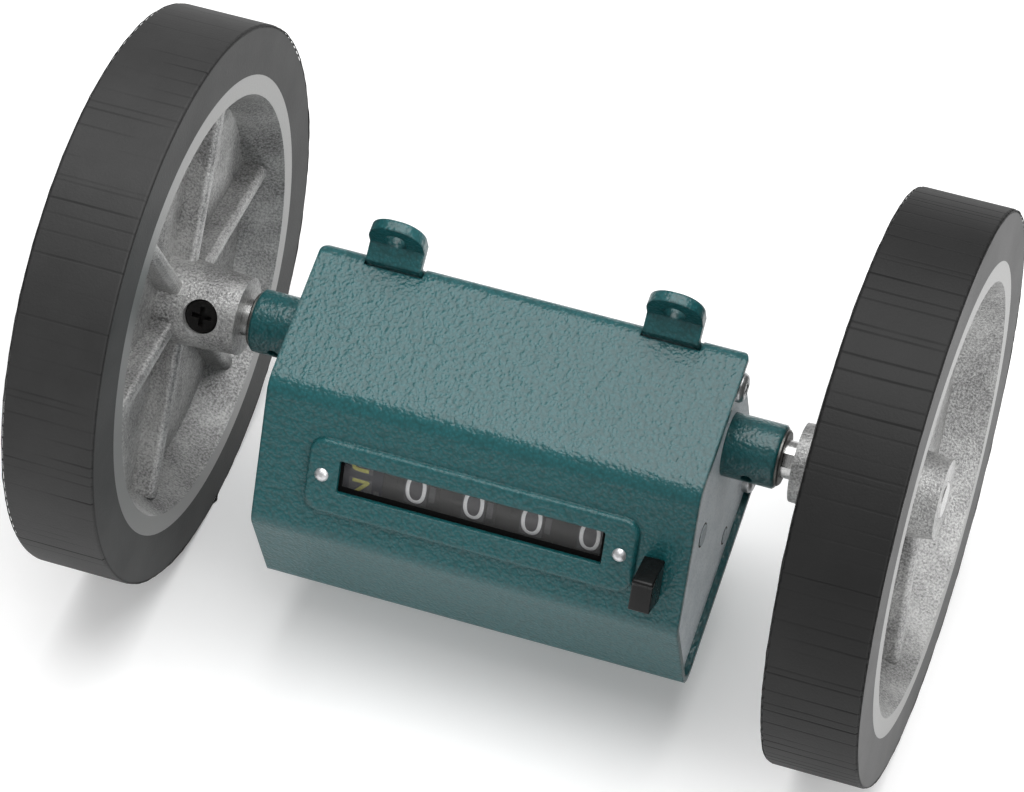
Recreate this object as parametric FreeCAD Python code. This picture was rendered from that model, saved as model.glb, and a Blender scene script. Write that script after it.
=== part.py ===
import FreeCAD, Part
import math
import os

# Wheel driven length counter. Everything is drawn in a frame with the axle along X through
# the origin, the casing base level, the window toward -Y, and is then swung by hang_deg and
# lifted by tyre_r so that both tyres stand on the floor at z = 0.
os.makedirs("parts", exist_ok=True)
V = FreeCAD.Vector

# ---- standing pose
hang_deg = 15.5

# ---- wheels
tyre_r = 53.05
tyre_w = 17.45
tyre_edge_r = 0.6
tyre_wall = 9.35
rim_ring = 3.7
rim_draft = 2.7
web_t = 2.4
rib_n = 6
rib_w = 3.0
rib_h = 4.4
rib_round = 1.2
rib_phase = 39.5
outer_rib_deg = 242.0
hub_end_r = 7.3
hub_web_r = 8.4
wheel_gap = 22.3
hub_gap_left = 1.75
hub_gap_right = 2.55
hub_proud = 0.05
wheel_screw_in = 1.6
wheel_screw_deg = 131.5
wheel_screw_r = 3.3

# ---- axle
shaft_r = 3.5
shaft_proud = 0.2
key_w = 2.5
key_depth = 1.5
key_deg = 120.0
key_len = 12.0

# ---- casing
sheet = 1.2
case_depth = 48.0
case_height = 46.7
top_depth = 30.0
front_low = 25.2
axle_back = 12.0
axle_up = 30.8
bend_top = 3.2
cover_corner = 2.6
bend_mid = 5.0
bend_low = 4.0
rear_flange = 7.0
plate_recess = 1.2
plate_t = 3.0
plate_gap = 0.05
pin_bevel = 0.4
rear_t = 1.5
rear_pad_t = 3.0

# ---- mounting ears
ear_in = 14.3
ear_w = 10.4
ear_root = 8.95
ear_tab_t = 2.1
ear_step = 3.0
ear_rise = 9.3
ear_round = 4.6
ear_hole_r = 2.1
ear_hole_z = 5.0
ear_notch_gap = 0.4

# ---- bearing bosses and bushes
boss_r = 5.9
boss_left_len = 11.9
boss_right_len = 9.8
bush_wall = 1.1
bush_lip = 0.65
oil_hole_r = 1.1
oil_hole_in = 4.9
oil_hole_deg = 180.0
run_gap = 0.05

# ---- window panel, measured down the panel from the top bend
bezel_side = 4.25
bezel_v0 = 8.0
bezel_v1 = 22.5
bezel_r = 3.0
bezel_raise = 1.0
window_side = 1.75
window_v0 = 11.4
window_v1 = 17.9
rivet_side = 1.3
rivet_v = 15.0
rivet_head_r = 1.3
rivet_shank_r = 0.8
lens_t = 1.0

# ---- number drums
drum_n = 5
drum_pitch = 10.7
drum_r = 12.0
drum_rim = 8.0
drum_wall = 1.4
drum_back = 14.0
drum_hub_r = 3.2
drum_shaft_r = 2.0
step_gear_w = 1.0
carry_w = 0.8
carry_r = 9.2

# ---- gears
gear_m = 0.7
main_z = 16
lay_z = 24
lay_pinion_z = 12
drum_z = 24
step_m = 1.05
step_z = 20
step_pinion_z = 8
step_deg = -100.0
main_gear_w = 2.8
lay_gear_w = 3.0
number_gear_w = 2.5
spindle_r = 2.0

# ---- counter frame
frame_side = 3.25
frame_t = 1.2
drive_space = 5.1
plate_rib = 5.0
bar_half = 3.0
bar_low_more = 5.3
bar_rear_s = 6.0
bar_top_down = 4.3
bar_low_t = 4.4
stay_y = -7.0
stay_z = -25.0
stay_r = 2.0

# ---- reset lever, which swings on the number shaft and turns the comb through two sectors
lever_z = 30
comb_z = 19
reset_deg = 53.6
reset_r = 2.0
arm_side = 2.4
arm_t = 1.8
arm_half = 1.3
arm_v = 19.8
handle_w = 3.9
handle_side = 1.1
handle_out = 8.0
handle_gap = 0.7
slot_v0 = 14.4
slot_v1 = 21.7
finger_t = 0.6
finger_len = 12.5
finger_deg = 205.7
spring_wire_r = 0.3
spring_turns = 2

# ---- screws
m3_r = 1.5
m3_head_r = 2.75
m3_head_h = 1.9
flat_head_h = 1.15
m3_clear = 0.1
rear_screw_in = 26.5
base_screw_in = 18.5

# ---- places that follow from the sizes above
stack_x = drum_n * drum_pitch / 2.0
frame_x = stack_x + frame_side
plate_in = frame_x + frame_t + drive_space
plate_out = plate_in + plate_t
case_half = plate_out + plate_recess
boss_left = plate_out + boss_left_len
boss_right = plate_out + boss_right_len
hub_in_left = boss_left + bush_lip + hub_gap_left
hub_in_right = boss_right + bush_lip + hub_gap_right
wheel_x = plate_out + wheel_gap
hub_out = wheel_x + tyre_w + hub_proud
shaft_end = hub_out + shaft_proud
wheel_screw_x = wheel_x - wheel_screw_in
rim_r = tyre_r - tyre_wall
rim_floor_r = rim_r - rim_ring - rim_draft
bush_r = shaft_r + bush_wall
bush_lip_r = bush_r + 0.6
bezel_x = stack_x + bezel_side
window_x = stack_x - window_side
rivet_x = stack_x + rivet_side
ear_x = case_half - ear_in
arm_x = frame_x + frame_t + arm_side
handle_x0 = arm_x - handle_side
rear_screw_x = case_half - rear_screw_in
bar_top_t = case_height - bar_top_down
base_screw_x = case_half - base_screw_in


def place(shape):
    out = shape.copy()
    out.rotate(V(0, 0, 0), V(1, 0, 0), hang_deg)
    out.translate(V(0, 0, tyre_r))
    return out


def save(shape, name):
    solid = place(shape)
    if solid.ShapeType == "Compound" and len(solid.Solids) == 1:
        solid = solid.Solids[0]
    solid.exportStep("parts/" + name + ".step")


def rod(r, x0, x1, y=0.0, z=0.0):
    return Part.makeCylinder(r, x1 - x0, V(x0, y, z), V(1, 0, 0))


def cone(r0, r1, x0, x1):
    return Part.makeCone(r0, r1, x1 - x0, V(x0, 0, 0), V(1, 0, 0))


def prism(points, x0, x1):
    wire = Part.makePolygon([V(x0, p[0], p[1]) for p in points + points[:1]])
    return Part.Face(wire).extrude(V(x1 - x0, 0, 0))


def box(x0, x1, y0, y1, z0, z1):
    return Part.makeBox(x1 - x0, y1 - y0, z1 - z0, V(x0, y0, z0))


def polar(r, deg, y=0.0, z=0.0):
    a = math.radians(deg)
    return (y + r * math.cos(a), z + r * math.sin(a))


def round_edges(solid, spots, radius):
    # rounds the edges along X that pass through the given (y, z) spots
    picked = []
    for edge in solid.Edges:
        a = edge.Vertexes[0].Point
        b = edge.Vertexes[-1].Point
        if abs(a.x - b.x) < 1e-6:
            continue
        for y, z in spots:
            if abs(a.y - y) + abs(a.z - z) + abs(b.y - y) + abs(b.z - z) < 1e-3:
                picked.append(edge)
    return solid.makeFillet(radius, picked)


# ---- casing profile
A = (axle_back, case_height - axle_up)
B = (axle_back - top_depth, case_height - axle_up)
C = (axle_back - case_depth, front_low - axle_up)
D = (axle_back - case_depth, -axle_up)
E = (axle_back, -axle_up)
panel_len = math.hypot(B[0] - C[0], B[1] - C[1])
PV = ((C[0] - B[0]) / panel_len, (C[1] - B[1]) / panel_len)
PN = (PV[1], -PV[0])


def wp(v, w):
    # spot on the window panel: v down from the top bend, w outward
    return (B[0] + v * PV[0] + w * PN[0], B[1] + v * PV[1] + w * PN[1])


def inset(points, d):
    # moves every side of a convex polygon inward by d
    n = len(points)
    lines = []
    for i in range(n):
        p = points[i]
        q = points[(i + 1) % n]
        length = math.hypot(q[0] - p[0], q[1] - p[1])
        ux = (q[0] - p[0]) / length
        uz = (q[1] - p[1]) / length
        lines.append((p[0] - uz * d, p[1] + ux * d, ux, uz))
    out = []
    for i in range(n):
        x1, y1, a1, b1 = lines[i - 1]
        x2, y2, a2, b2 = lines[i]
        det = a1 * b2 - b1 * a2
        t = ((x2 - x1) * b2 - (y2 - y1) * a2) / det
        out.append((x1 + t * a1, y1 + t * b1))
    return out


def case_block(d, x0, x1):
    # the casing profile moved inward by d, with its bends rounded
    pts = inset([A, B, C, D, E], d)
    solid = prism(pts, x0, x1)
    solid = round_edges(solid, [pts[0]], max(bend_top - d, 0.6))
    solid = round_edges(solid, [pts[1]], max(bend_mid - d, 0.6))
    solid = round_edges(solid, [pts[2], pts[3]], max(bend_low - d, 0.6))
    return solid


def on_panel(shape):
    # carries a shape drawn with x across, y up the panel and z outward onto the window panel
    m = FreeCAD.Matrix(1, 0, 0, 0, 0, -PV[0], PN[0], B[0], 0, -PV[1], PN[1], B[1], 0, 0, 0, 1)
    return shape.transformed(m)


def panel_pad(x0, x1, v0, v1, w0, w1, r):
    pad = Part.makeBox(x1 - x0, v1 - v0, w1 - w0, V(x0, -v1, w0))
    if r > 0:
        pad = pad.makeFillet(r, [e for e in pad.Edges if abs(e.tangentAt(e.FirstParameter).z) > 0.9])
    return pad


drum_c = wp((window_v0 + window_v1) / 2.0, -drum_back)
step_c = polar(step_m * (step_z + step_pinion_z) / 2.0, step_deg, drum_c[0], drum_c[1])
lay_a = gear_m * (main_z + lay_z) / 2.0
lay_b = gear_m * (lay_pinion_z + drum_z) / 2.0


def lay_centre():
    d = math.hypot(drum_c[0], drum_c[1])
    base = math.degrees(math.atan2(drum_c[1], drum_c[0]))
    turn = math.degrees(math.acos((lay_a ** 2 + d ** 2 - lay_b ** 2) / (2.0 * lay_a * d)))
    return polar(lay_a, base + turn)


lay_c = lay_centre()
reset_y, reset_z = polar(gear_m * (lever_z + comb_z) / 2.0, reset_deg, drum_c[0], drum_c[1])


def gear(z, m, x0, x1, c, phase, alpha=25.0, add=0.8, ded=1.05, thin=0.12):
    # spur gear with involute flanks; phase is the direction of the middle of one tooth
    rp = m * z / 2.0
    rb = rp * math.cos(math.radians(alpha))
    ra = rp + add * m
    rf = rp - ded * m
    inv = math.tan(math.radians(alpha)) - math.radians(alpha)
    half = (math.pi * m / 2.0 - thin) / (2.0 * rp) + inv
    pts = []
    for k in range(z):
        mid = math.radians(phase) + 2.0 * math.pi * k / z
        flank = []
        start = max(rb, rf)
        for i in range(5):
            r = start + (ra - start) * i / 4.0
            a = math.acos(min(1.0, rb / r))
            flank.append((r, half - (math.tan(a) - a)))
        if rf < rb:
            flank.insert(0, (rf, half))
        for r, a in flank:
            pts.append((c[0] + r * math.cos(mid - a), c[1] + r * math.sin(mid - a)))
        for r, a in reversed(flank):
            pts.append((c[0] + r * math.cos(mid + a), c[1] + r * math.sin(mid + a)))
    return prism(pts, x0, x1)


def mesh_phase(z, c, other_c, other_z, other_phase):
    # phase that puts a gap of this gear over the tooth of the other gear on the line of centres
    line = math.degrees(math.atan2(other_c[1] - c[1], other_c[0] - c[0]))
    other_turn = (line + 180.0 - other_phase) / (360.0 / other_z)
    part_tooth = other_turn - math.floor(other_turn)
    return line + (0.5 + part_tooth) * 360.0 / z


# ---- wheels
def wheel_rim(side, hub_in):
    # side is -1 for the left wheel, +1 for the right; the rim is turned, then webbed and ribbed
    x0 = wheel_x
    x1 = wheel_x + tyre_w
    mid = (x0 + x1) / 2.0
    ring_r = rim_r - rim_ring
    body = rod(rim_r, x0, x1)
    body = body.cut(cone(ring_r, rim_floor_r, x0 - 0.001, mid - web_t / 2.0))
    body = body.cut(cone(rim_floor_r, ring_r, mid + web_t / 2.0, x1 + 0.001))
    body = body.fuse(cone(hub_end_r, hub_web_r, hub_in, mid))
    body = body.fuse(cone(hub_web_r, hub_end_r, mid, hub_out))
    # ribs stand in the inner dish, and one in the outer dish
    turns = [rib_phase + k * 360.0 / rib_n for k in range(rib_n)]
    for turn in turns + [outer_rib_deg]:
        inner = turn in turns
        rib = prism([(0, -rib_w / 2.0), (rim_floor_r + 1.0, -rib_w / 2.0),
                     (rim_floor_r + 1.0, rib_w / 2.0), (0, rib_w / 2.0)],
                    mid - web_t / 2.0 - rib_h if inner else mid, mid if inner else mid + web_t / 2.0 + rib_h)
        tops = [e for e in rib.Edges if abs(e.Vertexes[0].Point.z - e.Vertexes[-1].Point.z) < 1e-6
                and abs(e.Vertexes[0].Point.x - e.Vertexes[-1].Point.x) < 1e-6
                and abs(e.Vertexes[0].Point.x - mid) > 0.1]
        rib = rib.makeFillet(rib_round, tops)
        rib.rotate(V(0, 0, 0), V(1, 0, 0), turn)
        body = body.fuse(rib)
    body = body.cut(rod(shaft_r, hub_in - 1.0, hub_out + 1.0))
    y, z = polar(1.0, wheel_screw_deg)
    body = body.cut(Part.makeCylinder(wheel_screw_r, 20.0, V(wheel_screw_x, 0, 0), V(0, y, z)))
    body = body.removeSplitter()
    if side < 0:
        body = body.mirror(V(0, 0, 0), V(1, 0, 0))
    return body


def tyre(side):
    body = rod(tyre_r, wheel_x, wheel_x + tyre_w)
    body = body.makeFillet(tyre_edge_r, [e for e in body.Edges if abs(e.Length - 2 * math.pi * tyre_r) < 1.0])
    body = body.cut(rod(rim_r, wheel_x - 1.0, wheel_x + tyre_w + 1.0))
    if side < 0:
        body = body.mirror(V(0, 0, 0), V(1, 0, 0))
    return body


def wheel_screw(side):
    # socket point screw whose tip bears on the shaft
    y, z = polar(1.0, wheel_screw_deg)
    top = hub_web_r - 1.6
    body = Part.makeCylinder(wheel_screw_r, top - shaft_r, V(0, 0, shaft_r), V(0, 0, 1))
    body = body.makeChamfer(0.4, [body.Edges[0]])
    for turn in (0, 90):
        cross = Part.makeBox(3.8, 0.9, 1.6, V(-1.9, -0.45, top - 1.5))
        cross.rotate(V(0, 0, 0), V(0, 0, 1), turn)
        body = body.cut(cross)
    body.rotate(V(0, 0, 0), V(1, 0, 0), wheel_screw_deg - 90.0)
    body.translate(V(side * wheel_screw_x, 0, 0))
    return body


def main_shaft():
    body = rod(shaft_r, -shaft_end, shaft_end)
    body = body.makeChamfer(0.4, [e for e in body.Edges if abs(e.Length - 2 * math.pi * shaft_r) < 0.01])
    slot = box(hub_in_right - key_len / 2.0, hub_in_right + key_len / 2.0, -key_w / 2.0, key_w / 2.0, shaft_r - key_depth, shaft_r + 1.0)
    slot.rotate(V(0, 0, 0), V(1, 0, 0), key_deg - 90.0)
    return body.cut(slot)


# ---- casing
def bezel_cut(x_grow, w0, w1):
    return panel_pad(-bezel_x - x_grow, bezel_x + x_grow, bezel_v0 - x_grow, bezel_v1 + x_grow,
                     w0, w1, bezel_r)


def front_cover():
    outer = case_block(0.0, -case_half, case_half)
    pad = bezel_cut(0.0, -0.5, bezel_raise)
    rim = [e for e in pad.Edges if e.BoundBox.ZMin > bezel_raise - 1e-6]
    pad = pad.makeFillet(0.7, rim)
    outer = outer.fuse(on_panel(pad)).removeSplitter()
    inner = case_block(sheet, -case_half - 1.0, case_half + 1.0)
    body = outer.cut(inner)
    pocket = bezel_cut(-sheet * 0.9, -sheet - 0.5, bezel_raise - sheet)
    body = body.cut(on_panel(pocket))
    # open the rear between the short top flange and the base
    body = body.cut(box(-case_half - 1, case_half + 1, A[0] - sheet - 0.001, A[0] + 1.0,
                        E[1] - 1.0, A[1] - rear_flange))
    window = panel_pad(-window_x, window_x, window_v0, window_v1, -3.0, 3.0, 0.4)
    body = body.cut(on_panel(window))
    slot = panel_pad(arm_x - 0.4, arm_x + arm_t + 0.4, slot_v0, slot_v1, -3.0, 3.0, 0.8)
    body = body.cut(on_panel(slot))
    for side in (-1, 1):
        shank = Part.makeCylinder(rivet_shank_r, 6.0, V(side * rivet_x, -rivet_v, -3.0), V(0, 0, 1))
        body = body.cut(on_panel(shank))
        # notch for the ear, and relief at the ends of the rear flange
        cx = side * ear_x
        body = body.cut(box(cx - ear_w / 2.0 - ear_notch_gap, cx + ear_w / 2.0 + ear_notch_gap,
                            rear_y0() - ear_notch_gap, A[0] + 1.0, A[1] - rear_flange * 0.45, A[1] + 1.0))
        x0 = min(side * (case_half - 4.5), side * (case_half + 1.0))
        body = body.cut(box(x0, x0 + 5.5, A[0] - sheet - 0.001, A[0] + 1.0, E[1], A[1] - bend_top))
        body = body.cut(rod_y(m3_r + m3_clear, side * rear_screw_x, bar_z(bar_top_t), A[0] - 3.0, A[0] + 1.0))
        sink = Part.makeCone(m3_head_r, m3_r + m3_clear, flat_head_h, V(side * rear_screw_x, A[0], bar_z(bar_top_t)), V(0, -1, 0))
        body = body.cut(sink)
        # round the rear corner of the top sheet
        cx = side * (case_half - cover_corner)
        corner = box(min(cx, side * (case_half + 1.0)), max(cx, side * (case_half + 1.0)), A[0] - cover_corner, A[0] + 1.0,
                     A[1] - rear_flange - 1.0, A[1] + 1.0)
        keep = Part.makeCylinder(cover_corner, rear_flange + 4.0, V(cx, A[0] - cover_corner, A[1] - rear_flange - 2.0), V(0, 0, 1))
        body = body.cut(corner.cut(keep))
        body = body.cut(rod_z(m3_r + m3_clear, side * base_screw_x, bar_y(), E[1] - 1.0, E[1] + 3.0))
    return body


def rear_y0():
    return A[0] - sheet - rear_t


def bar_y():
    return axle_back - bar_rear_s


def bar_z(t):
    return t - axle_up


def rod_y(r, x, z, y0, y1):
    return Part.makeCylinder(r, y1 - y0, V(x, y0, z), V(0, 1, 0))


def rod_z(r, x, y, z0, z1):
    return Part.makeCylinder(r, z1 - z0, V(x, y, z0), V(0, 0, 1))


def rear_plate():
    top = A[1] - sheet - plate_gap
    body = box(-plate_in + 0.1, plate_in - 0.1, rear_y0(), A[0] - sheet, E[1] + sheet, top - 2.0)
    pad = box(-plate_in + 0.1, plate_in - 0.1, rear_y0() - rear_pad_t, rear_y0() + 0.1,
              bar_z(bar_low_t) + bar_half + 0.1, bar_z(bar_top_t) - bar_half - 0.1)
    body = body.fuse(pad).removeSplitter()
    for side in (-1, 1):
        for t in (bar_top_t, bar_low_t):
            body = body.cut(rod_y(m3_r + m3_clear, side * rear_screw_x, bar_z(t), rear_y0() - 1, A[0] + 1))
        # room for the ear strap
        cx = side * ear_x
        body = body.cut(box(cx - ear_w / 2.0 - 0.05, cx + ear_w / 2.0 + 0.05, rear_y0() - 1, A[0] + 1,
                            A[1] - ear_root - 0.05, A[1] + 1.0))
    return body


def mounting_ear(side):
    # strap that stands in a gap of the rear plate, steps back over the rear edge and ends in a round tab
    y0 = rear_y0()
    y1 = y0 + rear_t
    z = A[1]
    pts = [(y0, z - ear_root), (y1, z - ear_root), (y1, z + 0.35), (y0 + ear_step + ear_tab_t, z + 2.05),
           (y0 + ear_step + ear_tab_t, z + ear_rise), (y0 + ear_step, z + ear_rise),
           (y0 + ear_step, z + 2.95), (y0, z + 1.3)]
    body = prism(pts, -ear_w / 2.0, ear_w / 2.0)
    corners = [e for e in body.Edges if e.BoundBox.ZMin > z + ear_rise - 1e-3
               and abs(e.Vertexes[0].Point.x - e.Vertexes[-1].Point.x) < 1e-6]
    body = body.makeFillet(ear_round, corners)
    body = body.cut(rod_y(ear_hole_r, 0.0, z + ear_hole_z, y0, y0 + ear_step + ear_tab_t + 2.0))
    body.translate(V(side * ear_x, 0, 0))
    return body


def end_plate(side):
    x0 = min(side * plate_in, side * plate_out)
    body = case_block(sheet + plate_gap, x0, x0 + plate_t)
    body = body.cut(rod(boss_r - 0.9, x0 - 1, x0 + plate_t + 1))
    for t in (bar_top_t, bar_low_t):
        body = body.cut(rod(m3_r + m3_clear, x0 - 1, x0 + plate_t + 1, bar_y(), bar_z(t)))
    body = body.cut(rod(drum_shaft_r, x0 - 1, x0 + plate_t + 1, drum_c[0], drum_c[1]))
    body = body.cut(rod(stay_r * 0.7, x0 - 1, x0 + plate_t + 1, stay_y, stay_z))
    # bevelled mouths of the two holes that hold the number shaft and the stay
    for r, (y, z) in ((drum_shaft_r, drum_c), (stay_r * 0.7, (stay_y, stay_z))):
        mouth = Part.makeCone(r, r + pin_bevel + 0.1, pin_bevel + 0.1, V(side * (plate_out - pin_bevel), y, z), V(side, 0, 0))
        body = body.cut(mouth)
    if side < 0:
        body = body.cut(rod(spindle_r + run_gap, x0 - 1, x0 + plate_t + 1, lay_c[0], lay_c[1]))
    return body


def bearing_boss(side):
    # green tube that stands on the end plate, with a spigot in the plate and an oil hole
    end = boss_left if side < 0 else boss_right
    body = rod(boss_r, plate_out, end)
    body = body.makeChamfer(0.4, [e for e in body.Edges if e.BoundBox.XMin > end - 1e-3])
    body = body.fuse(rod(boss_r - 0.9, plate_in, plate_out))
    body = body.cut(rod(bush_r, plate_in - 1, end + 1))
    hole_x = end - oil_hole_in
    y, z = polar(1.0, oil_hole_deg)
    body = body.cut(Part.makeCylinder(oil_hole_r, 10.0, V(hole_x, 0, 0), V(0, y, z)))
    body = body.removeSplitter()
    return body if side > 0 else body.mirror(V(0, 0, 0), V(1, 0, 0))


def bearing_bush(side):
    end = boss_left if side < 0 else boss_right
    body = rod(bush_r, plate_in, end)
    lip = rod(bush_lip_r, end, end + bush_lip)
    lip = lip.makeChamfer(0.3, [e for e in lip.Edges if e.BoundBox.XMin > end + bush_lip - 1e-3])
    body = body.fuse(lip).removeSplitter()
    body = body.cut(rod(shaft_r + run_gap, plate_in - 1, end + 2))
    return body if side > 0 else body.mirror(V(0, 0, 0), V(1, 0, 0))


def frame_bar(t):
    # square bar between the end plates, tapped at both ends, at the rear and, when low, underneath
    y = bar_y()
    z = bar_z(t)
    x = plate_in
    more = bar_low_more if t == bar_low_t else 0.0
    body = box(-x, x, y - bar_half - more, rear_y0(), z - bar_half, z + bar_half)
    depth = 8.0
    body = body.cut(rod(m3_r, -x - 1, -x + depth, y, z))
    body = body.cut(rod(m3_r, x - depth, x + 1, y, z))
    for side in (-1, 1):
        body = body.cut(rod_y(m3_r, side * rear_screw_x, z, y - 1.0, y + bar_half + 2))
        if t == bar_low_t:
            body = body.cut(rod_z(m3_r, side * base_screw_x, y, z - bar_half - 1, z + 1.0))
    return body


def frame_stay():
    x = plate_in
    body = rod(stay_r, -x, x, stay_y, stay_z)
    return body.fuse(rod(stay_r * 0.7, -x - plate_t - 0.2, x + plate_t + 0.2, stay_y, stay_z))


def pan_screw(length):
    # cross slotted pan head screw along +Z, head at the origin side below z = 0
    head = Part.makeCylinder(m3_head_r, m3_head_h, V(0, 0, -m3_head_h), V(0, 0, 1))
    head = head.makeFillet(1.0, [e for e in head.Edges if e.BoundBox.ZMax < -m3_head_h + 1e-3])
    body = head.fuse(Part.makeCylinder(m3_r, length, V(0, 0, 0), V(0, 0, 1)))
    for turn in (0, 90):
        cross = Part.makeBox(3.2, 0.7, 1.3, V(-1.6, -0.35, -m3_head_h - 0.1))
        cross.rotate(V(0, 0, 0), V(0, 0, 1), turn + 30)
        body = body.cut(cross)
    return body.removeSplitter()


def flat_screw(length):
    # countersunk screw along +Z, its flat head flush at the origin
    head = Part.makeCone(m3_head_r - 0.1, m3_r, flat_head_h, V(0, 0, 0), V(0, 0, 1))
    body = head.fuse(Part.makeCylinder(m3_r, length, V(0, 0, 0), V(0, 0, 1)))
    for turn in (0, 90):
        cross = Part.makeBox(3.0, 0.6, 0.8, V(-1.5, -0.3, -0.1))
        cross.rotate(V(0, 0, 0), V(0, 0, 1), turn + 20)
        body = body.cut(cross)
    return body.removeSplitter()


def end_screw(side, t):
    body = pan_screw(plate_t + 6.0)
    body.rotate(V(0, 0, 0), V(0, 1, 0), -90.0 if side > 0 else 90.0)
    body.translate(V(side * plate_out, bar_y(), bar_z(t)))
    return body


def rear_screw(side, t):
    face = A[0] if t == bar_top_t else A[0] - sheet
    length = face - bar_y() + 0.5
    body = flat_screw(length) if t == bar_top_t else pan_screw(length)
    body.rotate(V(0, 0, 0), V(1, 0, 0), 90.0)
    body.translate(V(side * rear_screw_x, face, bar_z(t)))
    if t == bar_top_t:
        # the flat head is dressed off to the bend of the cover
        body = body.common(case_block(0.0, -case_half, case_half))
    return body


def base_screw(side):
    body = pan_screw(bar_z(bar_low_t) - E[1] + 0.5 - 1.6)
    body.translate(V(side * base_screw_x, bar_y(), E[1]))
    return body


# ---- window
def window_rivet(side):
    head = Part.makeSphere(1.45, V(0, 0, -0.55), V(0, 0, 1))
    head = head.common(Part.makeCylinder(rivet_head_r, 2.0, V(0, 0, 0), V(0, 0, 1)))
    head.translate(V(0, 0, bezel_raise))
    shank = Part.makeCylinder(rivet_shank_r, bezel_raise + sheet + lens_t + frame_t,
                              V(0, 0, -sheet - lens_t - frame_t), V(0, 0, 1))
    tail = Part.makeCylinder(rivet_shank_r + 0.4, 0.5, V(0, 0, -sheet - lens_t - frame_t - 0.4), V(0, 0, 1))
    body = head.fuse(shank).fuse(tail).removeSplitter()
    body.translate(V(side * rivet_x, -rivet_v, 0))
    return on_panel(body)


def window_lens():
    w1 = bezel_raise - sheet
    body = panel_pad(-rivet_x - 1.6, rivet_x + 1.6, bezel_v0 + 1.6, bezel_v1 - 1.6, w1 - lens_t, w1, bezel_r)
    for side in (-1, 1):
        body = body.cut(Part.makeCylinder(rivet_shank_r, 9.0, V(side * rivet_x, -rivet_v, -5), V(0, 0, 1)))
    return on_panel(body)


# ---- counter
def link(c0, c1, r, x0, x1):
    # flat bar with round ends between two centres
    a = math.degrees(math.atan2(c1[1] - c0[1], c1[0] - c0[0]))
    bar = box(x0, x1, 0.0, math.hypot(c1[0] - c0[0], c1[1] - c0[1]), -r, r)
    bar.rotate(V(0, 0, 0), V(1, 0, 0), a)
    bar.translate(V(0, c0[0], c0[1]))
    return bar.fuse(rod(r, x0, x1, *c0)).fuse(rod(r, x0, x1, *c1))


def counter_plate(side):
    # side plate that carries the drum, pinion and reset spindles, with a flange behind the window
    x0 = min(side * frame_x, side * (frame_x + frame_t))
    x1 = x0 + frame_t
    w1 = bezel_raise - sheet - lens_t
    v0 = bezel_v0 + 2.0
    v1 = bezel_v1 - 2.1
    body = prism([wp(v0, -3.0), wp(v1, -3.0), wp(v1, -drum_back), wp(v0, -drum_back)], x0, x1)
    for c in (step_c, lay_c, (reset_y, reset_z)):
        body = body.fuse(link(drum_c, c, plate_rib, x0, x1))
    xa = min(side * (frame_x + frame_t - 4.6), side * (frame_x + frame_t))
    flange = panel_pad(xa, xa + 4.6, v0, v1, w1 - frame_t, w1, 0)
    joint = panel_pad(x0, x1, v0, v1, -4.0, w1, 0)
    body = body.fuse(on_panel(flange)).fuse(on_panel(joint)).removeSplitter()
    hole = Part.makeCylinder(rivet_shank_r, 9.0, V(side * rivet_x, -rivet_v, -6), V(0, 0, 1))
    body = body.cut(on_panel(hole))
    body = body.cut(rod(drum_shaft_r, x0 - 1, x0 + 3, drum_c[0], drum_c[1]))
    body = body.cut(rod(spindle_r, x0 - 1, x0 + 3, step_c[0], step_c[1]))
    body = body.cut(rod(reset_r + run_gap, x0 - 1, x0 + 3, reset_y, reset_z))
    if side < 0:
        body = body.cut(rod(spindle_r + run_gap, x0 - 1, x0 + 3, lay_c[0], lay_c[1]))
    return body


def number_shaft():
    return rod(drum_shaft_r, -plate_out - 0.2, plate_out + 0.2, drum_c[0], drum_c[1])


def step_shaft():
    x = frame_x + frame_t + 0.4
    return rod(spindle_r, -x, x, step_c[0], step_c[1])


def drum_x(i):
    return (i - (drum_n - 1) / 2.0) * drum_pitch


def number_drum(i):
    # rim with its numbers, web, hub, the driven gear on the left and the carry disc on the right
    x = drum_x(i)
    x0 = x - drum_rim / 2.0
    x1 = x + drum_rim / 2.0
    gap = drum_pitch - drum_rim
    c = drum_c
    body = rod(drum_r, x0, x1, *c).cut(rod(drum_r - drum_wall, x0 - 1, x1 + 1, *c))
    body = body.fuse(rod(drum_r - drum_wall + 0.2, x - 0.8, x + 0.8, *c))
    hub0 = x0 - (gap - 0.3) / 2.0
    hub1 = x1 + (gap - 0.3) / 2.0
    body = body.fuse(rod(drum_hub_r, hub0, hub1, *c))
    if i > 0:
        rim_gear = gear(step_z, step_m, x0 - step_gear_w, x0, c, drum_phase(i), 28.0, 0.7, 0.95, 0.2)
        body = body.fuse(rim_gear).fuse(rod(step_m * step_z / 2.0 - 1.2, x0 - step_gear_w, x0 + 0.8, *c))
    if i < drum_n - 1:
        body = body.fuse(rod(carry_r, x1 - 0.8, x1 + carry_w, *c))
    body = body.cut(rod(drum_shaft_r + run_gap, hub0 - 1, hub1 + 1, *c))
    return body.removeSplitter()


def drum_phase(i):
    return step_deg


def tenths_gear():
    x0 = drum_x(0) - drum_rim / 2.0 - (drum_pitch - drum_rim - 0.3) / 2.0
    x1 = x0 - number_gear_w
    body = gear(drum_z, gear_m, x1, x0, drum_c, number_gear_phase())
    return body.cut(rod(drum_shaft_r + run_gap, x1 - 1, x0 + 1, *drum_c))


def main_gear_phase():
    return math.degrees(math.atan2(lay_c[1], lay_c[0]))


def lay_gear_phase():
    return mesh_phase(lay_z, lay_c, (0.0, 0.0), main_z, main_gear_phase())


def lay_pinion_phase():
    return math.degrees(math.atan2(drum_c[1] - lay_c[1], drum_c[0] - lay_c[0]))


def number_gear_phase():
    return mesh_phase(drum_z, drum_c, lay_c, lay_pinion_z, lay_pinion_phase())


def lay_gear_x():
    return -plate_in + 0.7


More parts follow.
